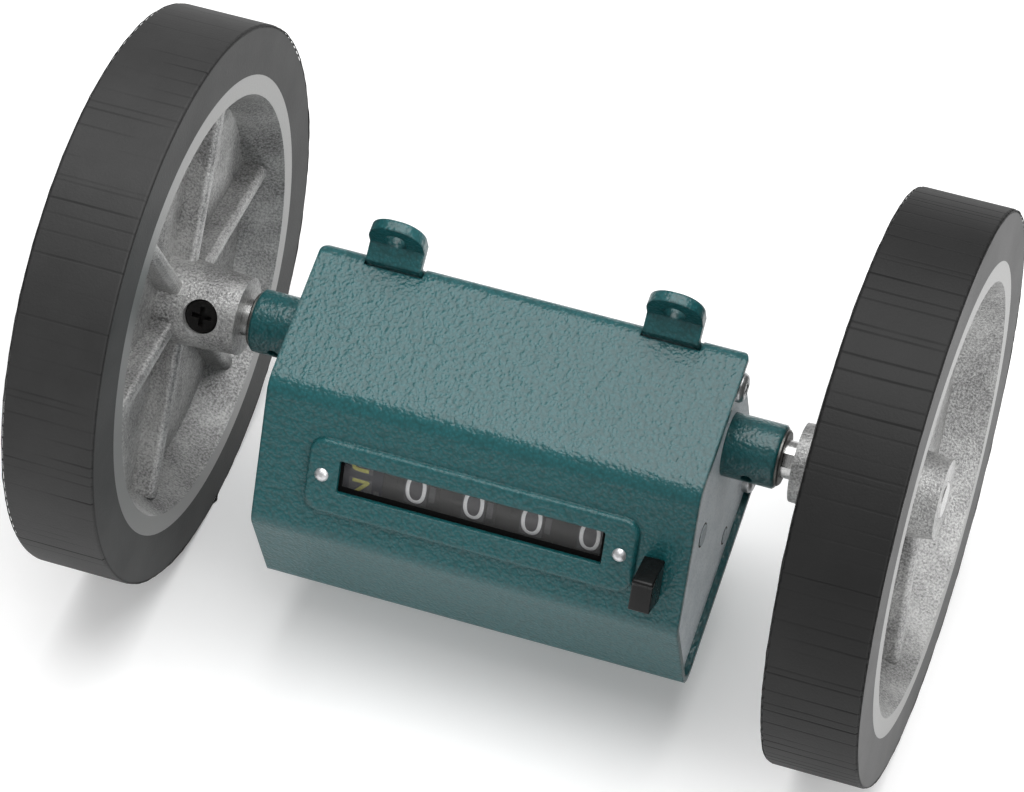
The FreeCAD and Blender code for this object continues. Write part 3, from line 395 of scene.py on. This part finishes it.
# torn or cut edge of black rubber: blacker than a moulded skin, no bloom on it
flashRubber = grainyFinish("cutRubber", ("#121212", "#242424"), 0.4, (0.7, 0.8), 0.0, 0.3, 0.05, ior=1.5)
# painted shade: a near black strip for the dark gap under the drums along the window's edges
shadeStripBlack = grainyFinish("paintedShadeStripBlack", ("#040404", "#0A0A0A"), 0.4, (0.85, 0.95), 0.0, 0.3, 0.04,
                         ior=1.2)
# painted shade for the bevels round the shaft ends: a dull near black
shaftEndShade = grainyFinish("shaftEndShade", ("#0E0E0D", "#1E1D1B"), 0.3, (0.6, 0.8), 0.0, 0.4, 0.04, ior=1.45)

# a node named left_ or right_ is found by the rest of its name
nodeFinish = {
    "wheel_rim": castRim, "wheel_screw": blackedSteel, "end_plate": plateCoat, "bearing_boss": enamel,
    "bearing_bush": darkSleeveSteel, "mounting_ear": enamel, "counter_plate": zincStrip,
    "window_rivet": peenedAlloy, "end_screw_top": zincSteel, "end_screw_low": zincSteel,
    "rear_screw_top": zincSteel, "rear_screw_low": zincSteel, "base_screw": zincSteel,
    "main_shaft": groundSteel, "drive_gear": hobbedBrass, "thrust_washer": poreBronze,
    "thrust_collar": zincSteel, "front_cover": enamel, "rear_plate": enamel, "frame_bar_top": zincStrip,
    "frame_bar_low": zincStrip, "frame_stay": sawnSteel, "window_lens": clearAcrylic,
    "number_shaft": sawnSteel, "step_shaft": groundSteel, "tenths_drum": drumDecimal,
    "units_drum": drumBlack, "tens_drum": drumBlack, "hundreds_drum": drumBlack,
    "thousands_drum": drumBlack, "units_step_pinion": acetalWhite, "tens_step_pinion": acetalWhite,
    "hundreds_step_pinion": acetalWhite, "thousands_step_pinion": acetalWhite,
    "tenths_gear": hobbedBrass, "layshaft": groundSteel, "layshaft_gear": hobbedBrass,
    "layshaft_pinion": hobbedBrass, "reset_shaft": groundSteel, "reset_comb": zincStrip,
    "reset_arm": zincStrip, "comb_sector": zincStrip, "reset_handle": nylonBlack,
    "reset_spring": springWire, "left_tyre": leftRubber, "right_tyre": rightRubber,
}
for name, node in nodes.items():
    plain = name.split("_", 1)[1] if name.startswith(("left_", "right_")) else name
    wear(node, nodeFinish.get(name) or nodeFinish[plain])
print("materials on", len(nodes), "nodes")


# numbers on the drums

numbers = {
    "pitch": 10.93, "radius": 12.0, "tall": 6.0, "wide": 3.9, "line": 0.74, "proud": 0.02,  # mm
    "shift": -0.22, "tenthsShift": 0.5, "flatten": 0.06, "slice": 0.6,
    "zeroAt": 154.9,        # degrees round the drum of the middle of 0 on the white drums
    "tenthsZeroAt": 246.0,  # the tenths drum stands between 2 and 3
    "ovalCorners": 28, "ovalPower": 0.86,
    "patchWide": 4.3, "patchTall": 6.4, "markWide": 1.1, "markTall": 3.2,
    "markAcross": -3.1, "markDown": 0.3, "patchProud": 0.010, "patchThick": 0.012,
}
drums = ["tenths", "units", "tens", "hundreds", "thousands"]
shaftLow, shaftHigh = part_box("number_shaft")
drumLine = ((shaftLow.y + shaftHigh.y) / 2, (shaftLow.z + shaftHigh.z) / 2)


def sliceAcross(piece, reach):
    # cuts the flat piece into strips so that it can bend round the drum
    step = numbers["slice"] * mm
    pickOnly(piece)
    bpy.ops.object.mode_set(mode="EDIT")
    y = -reach
    while y < reach:
        bpy.ops.mesh.select_all(action="SELECT")
        bpy.ops.mesh.bisect(plane_co=(0, y, 0), plane_no=(0, 1, 0))
        y += step
    bpy.ops.object.mode_set(mode="OBJECT")


def bendRound(piece, x, degrees, lift):
    # from the flat to the drum's face: the piece's +y runs on round the drum, and its +x to the left
    radius = numbers["radius"] * mm + lift
    for v in piece.data.vertices:
        turn = math.radians(degrees) + v.co.y / radius
        across = x - v.co.x
        r = radius + v.co.z
        v.co = Vector((across, drumLine[0] + r * math.cos(turn), drumLine[1] + r * math.sin(turn)))


# centre lines of the figures in a box from -1 to 1; a point given twice makes a corner
strokes = {
    "1": [(-0.35, 0.62), (0.15, 1), (0.15, 1), (0.15, -1)],
    "2": [(-0.88, 0.42), (-0.8, 1.08), (0.85, 1.1), (0.95, 0.3), (0.3, -0.2), (-0.92, -1), (-0.92, -1),
          (0.95, -1)],
    "3": [(-0.85, 1), (0.3, 1.02), (1.1, 0.95), (0.8, 0.4), (-0.1, 0.12), (-0.1, 0.12), (0.95, 0.2),
          (1, -0.95), (0, -1.1), (-0.75, -1.05), (-0.95, -0.55)],
    "4": [(0.45, -1), (0.45, 1), (0.45, 1), (-0.95, -0.42), (-0.95, -0.42), (0.95, -0.42)],
    "5": [(0.8, 1), (-0.7, 1), (-0.7, 1), (-0.8, 0.1), (-0.8, 0.1), (-0.3, 0.42), (0.95, 0.4), (1, -0.9),
          (0, -1.12), (-0.75, -1.0), (-0.95, -0.55)],
    "6": [(0.5, 1), (-0.35, 0.4), (-1, -0.1), (-0.95, -1.1), (0.1, -1.05), (1, -1.0), (0.95, 0.2),
          (0, 0.2), (-0.75, 0.15), (-0.9, -0.35)],
    "7": [(-0.9, 1), (0.9, 1), (0.9, 1), (-0.3, -1)],
    "9": [(-0.5, -1), (0.35, -0.4), (1, 0.1), (0.95, 1.1), (-0.1, 1.05), (-1, 1.0), (-0.95, -0.2),
          (0, -0.2), (0.75, -0.15), (0.9, 0.35)],
}
# closed figures: half width, half height and middle of each oval, in the same box
ovals = {"0": [(1, 1, 0)], "8": [(0.78, 0.47, 0.53), (1, 0.53, -0.47)]}


def ovalStroke(wide, tall, middle):
    # slightly squared oval
    corners = numbers["ovalCorners"]
    points = []
    for i in range(corners):
        turn = 2 * math.pi * i / corners
        cosine, sine = math.cos(turn), math.sin(turn)
        across = math.copysign(abs(cosine) ** numbers["ovalPower"], cosine)
        up = math.copysign(abs(sine) ** numbers["ovalPower"], sine)
        points.append((wide * across, middle + tall * up))
    return points


def figure(text):
    # one number drawn with a round pen, flattened, its middle at the origin
    line = numbers["line"] * mm
    halfWide, halfTall = (numbers["wide"] * mm - line) / 2, (numbers["tall"] * mm - line) / 2
    curve = bpy.data.curves.new("figure" + text, "CURVE")
    curve.dimensions = "3D"
    curve.bevel_depth = line / 2
    curve.bevel_resolution = 2
    curve.use_fill_caps = True
    closed = text in ovals
    outlines = [ovalStroke(*oval) for oval in ovals[text]] if closed else [strokes[text]]
    for points in outlines:
        spline = curve.splines.new("POLY" if closed else "NURBS")
        spline.points.add(len(points) - 1)
        for point, (x, y) in zip(spline.points, points):
            point.co = (x * halfWide, y * halfTall, 0, 1)
        if closed:
            spline.use_cyclic_u = True
        else:
            spline.order_u = 3
            spline.use_endpoint_u = True
            spline.resolution_u = 5
    piece = bpy.data.objects.new("figure" + text, curve)
    bpy.context.collection.objects.link(piece)
    pickOnly(piece)
    bpy.ops.object.convert(target="MESH")
    piece = bpy.context.object
    for v in piece.data.vertices:
        v.co.z *= numbers["flatten"]
    sliceAcross(piece, numbers["tall"] * mm / 2)
    return piece


def flatPatch(wide, tall, x, y):
    # a flat rectangle of that size in mm, with its middle at x and y
    deselectAll()
    bpy.ops.mesh.primitive_plane_add(size=1, location=(0, 0, 0))
    piece = bpy.context.object
    for v in piece.data.vertices:
        v.co = Vector((v.co.x * wide * mm + x * mm, v.co.y * tall * mm + y * mm, 0))
    sliceAcross(piece, tall / 2 * mm)
    return piece


def printDrum(drum, x, first):
    # ten figures with a faint patch behind each and a mark beside it, all riding on their drum
    printAndCutShade, patches = [], []
    for k in range(10):
        angle = first - 360 / 10 * k
        copy = figures[k].copy()
        copy.data = figures[k].data.copy()
        bpy.context.collection.objects.link(copy)
        bendRound(copy, x, angle, numbers["proud"] * mm)
        printAndCutShade.append(copy)
        patch = flatPatch(numbers["patchWide"], numbers["patchTall"], 0, 0)
        mark = flatPatch(numbers["markWide"], numbers["markTall"], numbers["markAcross"],
                         numbers["markDown"])
        for flat in (patch, mark):
            bendRound(flat, x, angle, numbers["patchProud"] * mm)
            patches.append(flat)
    ink = joinPieces(printAndCutShade, drum + "_numbers")
    wear(ink, stampYellow if drum == "tenths" else stampWhite)
    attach(ink, drum + "_wheel")
    backing = joinPieces(patches, drum + "_number_patches")
    modify(backing, "SOLIDIFY", thickness=numbers["patchThick"] * mm, offset=0.0)
    wear(backing, stampPatch)
    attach(backing, drum + "_wheel")


figures = [figure(str(k)) for k in range(10)]
for place, drum in enumerate(drums):
    shift = numbers["shift"] + (numbers["tenthsShift"] if drum == "tenths" else 0)
    first = numbers["tenthsZeroAt"] if drum == "tenths" else numbers["zeroAt"]
    printDrum(drum, ((place - 2) * numbers["pitch"] + shift) * mm, first)
for piece in figures:
    bpy.data.objects.remove(piece, do_unlink=True)
print("numbers on", len(drums), "drums")


# dark strips between the drums

strips = {
    "pitch": 10.7, "wide": 2.66, "radius": 11.78, "thick": 0.36, "foot": 0.6, "footIn": 0.3, "edge": 0.12,
    "barWide": 46.0, "barLow": 6.4, "barHigh": 8.6, "barTop": -1.22, "barUnder": -2.6,
    "from": 124.0, "to": 181.0, "overlap": 1, "corners": 180,  # degrees round the drum line, but for the last
}
# the window panel in the casing's own section: its top bend from the axle, and its slope
panel = {"bend": (-18.0, 15.9), "slope": (0.642, 0.767)}


def onPanel(v, w):
    # a point v mm down the window panel from its top bend and w mm out of it, as the part's y and z
    tilt = math.radians(hang)
    (bendY, bendZ), (slopeY, slopeZ) = panel["bend"], panel["slope"]
    y = bendY - slopeY * v - slopeZ * w
    z = bendZ - slopeZ * v + slopeY * w
    hung = Vector((y * math.cos(tilt) - z * math.sin(tilt), y * math.sin(tilt) + z * math.cos(tilt)))
    return hung * mm + Vector((0, axleHeight))


def flatBar(x, wide, start, end, thick):
    # a bar of that width across, from one point of the section to another
    run = Vector(end) - Vector(start)
    middle = (Vector(end) + Vector(start)) / 2
    deselectAll()
    bpy.ops.mesh.primitive_cube_add(size=1, location=(x, middle.x, middle.y),
                                    rotation=(math.atan2(run.y, run.x), 0, 0),
                                    scale=(wide, run.length, thick))
    placeInMesh()
    modify(bpy.context.object, "BEVEL", width=strips["edge"] * mm, segments=2)
    return bpy.context.object


def drumArc(x):
    # a tube round the drum line, cut down to the stretch behind the window and given its thickness
    deselectAll()
    bpy.ops.mesh.primitive_cylinder_add(vertices=strips["corners"], radius=strips["radius"] * mm,
                                        depth=strips["wide"] * mm, end_fill_type="NOTHING",
                                        location=(x, drumLine[0], drumLine[1]),
                                        rotation=(0, math.pi / 2, 0))
    placeInMesh()
    bpy.ops.object.mode_set(mode="EDIT")
    for end, spare in (("from", {"clear_inner": True}), ("to", {"clear_outer": True})):
        turn = math.radians(strips[end])
        bpy.ops.mesh.select_all(action="SELECT")
        across = (0, -math.sin(turn), math.cos(turn))
        bpy.ops.mesh.bisect(plane_co=(x, drumLine[0], drumLine[1]), plane_no=across, **spare)
    bpy.ops.object.mode_set(mode="OBJECT")
    modify(bpy.context.object, "SOLIDIFY", thickness=strips["thick"] * mm, offset=0.0)
    return bpy.context.object


def drumStrips():
    # fills the slots between the drums behind the window, and hangs from a bar inside the cover
    made = []
    turn = math.radians(strips["from"] + strips["overlap"])
    radius = strips["radius"] * mm
    top = (drumLine[0] + radius * math.cos(turn), drumLine[1] + radius * math.sin(turn))
    middle = (strips["barTop"] + strips["barUnder"]) / 2
    for place in range(4):
        x = (place - 1.5) * strips["pitch"] * mm
        foot = onPanel((strips["barLow"] + strips["barHigh"]) / 2, strips["barUnder"] + strips["footIn"])
        made += [drumArc(x), flatBar(x, strips["wide"] * mm, top, foot, strips["foot"] * mm)]
    low, high = onPanel(strips["barLow"], middle), onPanel(strips["barHigh"], middle)
    made.append(flatBar(0, strips["barWide"] * mm, low, high, (strips["barTop"] - strips["barUnder"]) * mm))
    piece = joinPieces(made, "drum_gap_strips")
    wear(piece, drumBlack)
    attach(piece, "casing")


drumStrips()
print("strips between the drums")


# painted shade round the window: a black strip where the gap under the drums lies in shade

# from, to and lower run down the window panel, lift out of it
paintedShade = {"across": 49.9, "from": 11.45, "to": 17.85, "wide": 0.6, "lower": 0.4, "thick": 0.14, "lift": -0.19}


def paintedShadeStrip():
    # a thin black strip on the lens along the edges of the window: painted shade, seen as the dark line under
    # the drums
    low, high = onPanel(paintedShade["to"], paintedShade["lift"]), onPanel(paintedShade["from"], paintedShade["lift"])
    middle, run = (low + high) / 2, high - low
    deselectAll()
    tilt = math.atan2(run.y, run.x)
    bpy.ops.mesh.primitive_plane_add(size=1, location=(0, middle.x, middle.y), rotation=(tilt, 0, 0))
    piece = bpy.context.object
    piece.scale = (paintedShade["across"] * mm, run.length, 1)
    placeInMesh()
    bpy.ops.object.mode_set(mode="EDIT")
    bpy.ops.mesh.select_all(action="SELECT")
    bpy.ops.mesh.inset(thickness=paintedShade["wide"] * mm, depth=0)
    rise = run.normalized() * paintedShade["lower"] * mm
    bpy.ops.transform.translate(value=(0, rise.x, rise.y))
    bpy.ops.mesh.delete(type="FACE")
    bpy.ops.object.mode_set(mode="OBJECT")
    modify(piece, "SOLIDIFY", thickness=paintedShade["thick"] * mm, offset=1.0)
    piece = joinPieces([piece], "painted_shade_strip")
    wear(piece, shadeStripBlack)
    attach(piece, "casing")


paintedShadeStrip()
print("seal round the window")


# painted shade: dark rings round the shaft ends

shadeRing = {"shaft": 2.24, "stay": 1.64, "wire": 0.14, "face": 39.22, "corners": 48, "section": 8}


def pinShadeRings():
    # painted shade: dark rings in the bevels round the ends of the number shaft and the stay
    low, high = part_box("frame_stay")
    middle = (low + high) / 2
    ends = ((shadeRing["shaft"], drumLine[0], drumLine[1]), (shadeRing["stay"], middle.y, middle.z))
    made = []
    for side in (-1, 1):
        for radius, y, z in ends:
            deselectAll()
            bpy.ops.mesh.primitive_torus_add(major_segments=shadeRing["corners"],
                                             minor_segments=shadeRing["section"], major_radius=radius * mm,
                                             minor_radius=shadeRing["wire"] * mm,
                                             location=(side * shadeRing["face"] * mm, y, z),
                                             rotation=(0, math.pi / 2, 0))
            made.append(bpy.context.object)
    piece = joinPieces(made, "pin_shade_rings")
    wear(piece, shaftEndShade)
    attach(piece, "casing")


pinShadeRings()
print("rings round the shaft ends")


# moulding flash on the tyres

flash = {
    "radius": 52.75, "thick": 0.22, "reach": 0.32, "limit": 53.05, "inset": 0.04, "lean": 0.12,  # mm
    "steps": 900, "section": 6,
    # the lip's height wanders: each step keeps most of the last and takes a little of a new draw
    "keep": 0.9, "take": 0.1, "drift": (-1.0, 1.4), "height": 0.7,
    # now and then a burr stands out of it, and it is plumper where it is tall
    "burrChance": 0.008, "burr": (0.8, 1.6), "most": 1.6, "plump": 0.6, "plumper": 1.6,
}


def tyreFlash(side, seed):
    # a ragged lip of rubber left where the mould parts, round both edges of the tread
    chance = random.Random(seed)
    low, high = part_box(side + "_tyre")
    loops = []
    for edge in (low.x, high.x):
        outward = -1 if edge == low.x else 1
        deselectAll()
        bpy.ops.mesh.primitive_torus_add(major_segments=flash["steps"], minor_segments=flash["section"],
                                         location=(0, 0, 0), rotation=(0, math.pi / 2, 0),
                                         major_radius=flash["radius"] * mm,
                                         minor_radius=flash["thick"] * mm / 2)
        ring = bpy.context.object
        bpy.ops.object.transform_apply(location=False, rotation=True, scale=False)
        height, raggedness = 0.0, [0.0] * flash["steps"]
        for i in range(flash["steps"]):
            height = flash["keep"] * height + flash["take"] * chance.uniform(*flash["drift"])
            burr = chance.uniform(*flash["burr"]) if chance.random() < flash["burrChance"] else 0
            raggedness[i] = flash["height"] * max(0.0, height) + burr
        for v in ring.data.vertices:
            turn = math.atan2(v.co.z, v.co.y)
            i = int((turn / (2 * math.pi)) % 1 * flash["steps"]) % flash["steps"]
            r = math.hypot(v.co.y, v.co.z)
            grow = min(flash["most"], raggedness[i])
            # the lip leans out along the axle, but never past the tread's own radius or the part's own width
            r = min(r + flash["reach"] * mm * grow, flash["limit"] * mm)
            x = edge + v.co.x * (flash["plump"] + flash["plumper"] * grow)
            x += outward * (flash["lean"] * grow - flash["inset"]) * mm
            x = max(cadBox[0][0], min(cadBox[1][0], x))
            v.co = Vector((x, r * math.cos(turn), r * math.sin(turn) + axleHeight))
        loops.append(ring)
    piece = joinPieces(loops, side + "_tyre_flash")
    wear(piece, flashRubber)
    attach(piece, "wheels")


for side, seed in (("left", 5), ("right", 11)):
    tyreFlash(side, seed)
print("flash on both tyres")


# moulded reset handle

# merge and radius in mm, flat, bevelOver and smoothUnder in degrees
handle = {"merge": 0.005, "radius": 0.55, "segments": 3, "flat": 1, "bevelOver": 35, "smoothUnder": 40}


def mouldedHandle():
    # the handle's solid with its mould radii, which the plain solid leaves sharp
    source = nodes["reset_handle"]
    piece = source.copy()
    piece.data = source.data.copy()
    piece.name = "reset_handle_moulded"
    piece.parent = None
    piece.matrix_world = Matrix.Identity(4)
    for key in list(piece.keys()):
        del piece[key]
    bpy.context.collection.objects.link(piece)
    pickOnly(piece)
    bpy.ops.object.mode_set(mode="EDIT")
    bpy.ops.mesh.select_all(action="SELECT")
    bpy.ops.mesh.remove_doubles(threshold=handle["merge"] * mm)
    bpy.ops.mesh.dissolve_limited(angle_limit=math.radians(handle["flat"]))
    bpy.ops.mesh.normals_make_consistent(inside=False)
    bpy.ops.object.mode_set(mode="OBJECT")
    modify(piece, "BEVEL", width=handle["radius"] * mm, segments=handle["segments"], limit_method="ANGLE",
           angle_limit=math.radians(handle["bevelOver"]))
    bpy.ops.object.shade_smooth_by_angle(angle=math.radians(handle["smoothUnder"]))
    wear(piece, nylonBlack)
    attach(piece, "reset_lever")
    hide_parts("reset_handle")


mouldedHandle()
print("handle moulded")


# floor, light and camera

studio = {
    "floor": 6, "paper": ("#F4F4F4", "#F8F8F8"), "fibre": 4, "floorLift": 0.16, "air": 0.42,
    "softboxes": {
        # place, size in metres and power in watts
        "overheadSoftbox": ((0.06, 0.12, 1.1), 1.05, 12.6),
        "rightSoftbox": ((1.0, -0.35, 0.6), 0.6, 5.5),
    },
    "aim": (0, 0, 0.05),
}


def floorMaterial():
    # plain pale paper sweep: white to the camera, and it keeps the soft shadow
    material, tree = newMaterial("paleFloor")
    rays = addNode(tree, "ShaderNodeLightPath")
    seen = addNode(tree, "ShaderNodeMath", {"operation": "MULTIPLY", 1: studio["floorLift"]},
                   {0: rays.outputs["Is Camera Ray"]})
    spot = addNode(tree, "ShaderNodeTexCoord").outputs["Object"]
    fibre = addNode(tree, "ShaderNodeTexNoise", {"Scale": 1 / (studio["fibre"] * mm)}, {"Vector": spot})
    tint = addNode(tree, "ShaderNodeMixRGB",
                   {"Color1": colour(studio["paper"][0]), "Color2": colour(studio["paper"][1])},
                   {"Fac": fibre.outputs["Fac"]})
    paper = addNode(tree, "ShaderNodeBsdfDiffuse", links={"Color": tint.outputs["Color"]})
    lift = addNode(tree, "ShaderNodeEmission", {"Color": (1, 1, 1, 1)}, {"Strength": seen.outputs[0]})
    both = addNode(tree, "ShaderNodeAddShader", links={0: paper.outputs[0], 1: lift.outputs[0]})
    addNode(tree, "ShaderNodeOutputMaterial", links={"Surface": both.outputs[0]})
    return material


deselectAll()
bpy.ops.mesh.primitive_plane_add(size=studio["floor"], location=(0, 0, 0))
floor = bpy.context.object
floor.name = "floor"
wear(floor, floorMaterial())

world = bpy.data.worlds.new("studio")
bpy.context.scene.world = world
world.use_nodes = True
sky = world.node_tree
sky.nodes.clear()
rays = addNode(sky, "ShaderNodeLightPath")
level = addNode(sky, "ShaderNodeMapRange",
                {"From Min": 0.0, "From Max": 1.0, "To Min": studio["air"], "To Max": 1.0},
                {"Value": rays.outputs["Is Camera Ray"]})
air = addNode(sky, "ShaderNodeBackground", {"Color": (1, 1, 1, 1)}, {"Strength": level.outputs["Result"]})
addNode(sky, "ShaderNodeOutputWorld", links={"Surface": air.outputs[0]})


def softLamp(name, spot, size, power):
    # a square softbox that looks at the part
    lamp = bpy.data.lights.new(name, "AREA")
    lamp.shape = "SQUARE"
    lamp.size = size
    lamp.energy = power
    holder = bpy.data.objects.new(name, lamp)
    bpy.context.collection.objects.link(holder)
    holder.location = spot
    holder.rotation_euler = (Vector(studio["aim"]) - Vector(spot)).to_track_quat("-Z", "Y").to_euler()


for name, (spot, size, power) in studio["softboxes"].items():
    softLamp(name, spot, size, power)

# the camera that was fitted to the photograph: metres, unit directions, and the focal length in pixels
view = {
    "spot": Vector((0.174677, -0.506208, 0.669038)),
    "right": Vector((0.94416, 0.32949, 0.0)),
    "up": Vector((-0.24898, 0.71348, 0.65494)),
    "ahead": Vector((-0.21579, 0.61837, -0.75568)),
    "focal": 4508.33, "imageWide": 1024, "sensor": 36, "near": 0.01,
}
cameraData = bpy.data.cameras.new("camera")
cameraData.sensor_width = view["sensor"]
cameraData.lens = view["focal"] / view["imageWide"] * view["sensor"]
cameraData.clip_start = view["near"]
camera = bpy.data.objects.new("camera", cameraData)
bpy.context.collection.objects.link(camera)
turned = Matrix((view["right"], view["up"], -view["ahead"])).transposed().to_4x4()
camera.matrix_world = Matrix.Translation(view["spot"]) @ turned
bpy.context.scene.camera = camera
bpy.context.scene.view_settings.view_transform = "Standard"
print("camera and lights set")
